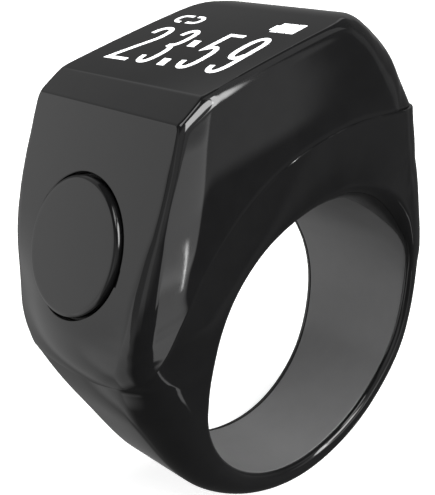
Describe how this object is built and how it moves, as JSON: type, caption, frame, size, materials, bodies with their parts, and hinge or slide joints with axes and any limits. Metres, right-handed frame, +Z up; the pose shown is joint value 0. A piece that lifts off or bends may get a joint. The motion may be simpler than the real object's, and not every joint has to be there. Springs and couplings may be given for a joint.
{
  "type": "digital tasbih counter",
  "caption": "Finger-worn electronic prayer counter: a black ring with a tall head, a lit display in the flat top and a round push button on the sloping front.",
  "frame": {"origin": "centre of the finger bore, at mid width", "axes": "+Y along the finger, +Z up through the display, the push button faces -X and up"},
  "size_m": [0.0278, 0.0144, 0.0325],
  "materials": {
    "casing_black": "polished black plastic",
    "band_black": "polished black plastic",
    "liner_grey": "satin black plastic",
    "button_black": "satin black plastic",
    "silicone_black": "matte silicone",
    "plunger_white": "moulded nylon",
    "switch_black": "moulded plastic",
    "dome_steel": "spring steel",
    "tin_feet": "tinned",
    "board_green": "green solder mask",
    "bracket_steel": "pressed stainless steel",
    "flex_amber": "polyimide film",
    "clear_film": "clear adhesive film",
    "display_glass": "black display glass",
    "bracket_black": "moulded plastic",
    "chip_black": "moulded epoxy",
    "can_steel": "plated can",
    "antenna_white": "fired ceramic",
    "passive_tan": "fired ceramic",
    "battery_foil": "laminated foil pouch",
    "foam_grey": "foam tape",
    "wire_red": "wire insulation",
    "motor_steel": "drawn steel can",
    "wire_blue": "wire insulation",
    "contact_gold": "gold plated",
    "magnet_nickel": "nickel plated"
  },
  "bodies": {
    "casing": {"upper_housing": "casing_black", "ring_body": "band_black", "inner_liner": "liner_grey", "switch_body": "switch_black", "snap_dome": "dome_steel", "switch_terminals": "tin_feet", "switch_board": "board_green", "switch_bracket": "bracket_steel", "switch_flex": "flex_amber", "display_adhesive": "clear_film", "oled_panel": "display_glass", "display_flex": "flex_amber", "display_bracket": "bracket_black", "main_board": "board_green", "processor_chip": "chip_black", "memory_chip": "chip_black", "charger_chip": "chip_black", "radio_crystal": "can_steel", "chip_antenna": "antenna_white", "board_passives": "passive_tan", "battery_cell": "battery_foil", "battery_pad": "foam_grey", "battery_leads": "wire_red", "vibration_motor": "motor_steel", "motor_pad": "foam_grey", "motor_leads": "wire_blue", "charge_contacts": "contact_gold", "charge_magnets": "magnet_nickel", "contact_flex": "flex_amber"},
    "button": {"button_cap": "button_black", "button_seal": "silicone_black"},
    "plunger": {"switch_plunger": "plunger_white"}
  },
  "joints": [
    {"name": "button_press", "type": "slide", "parent": "casing", "child": "button", "axis": [0.8435, 0, -0.5371], "range_m": [0, 0.0004], "stiffness_N_per_m": 2500},
    {"name": "plunger_press", "type": "slide", "parent": "casing", "child": "plunger", "axis": [0.8435, 0, -0.5371], "range_m": [0, 0.0004]}
  ],
  "couplings": [
    {"joint": "plunger_press", "follows": "button_press", "ratio": 1}
  ]
}
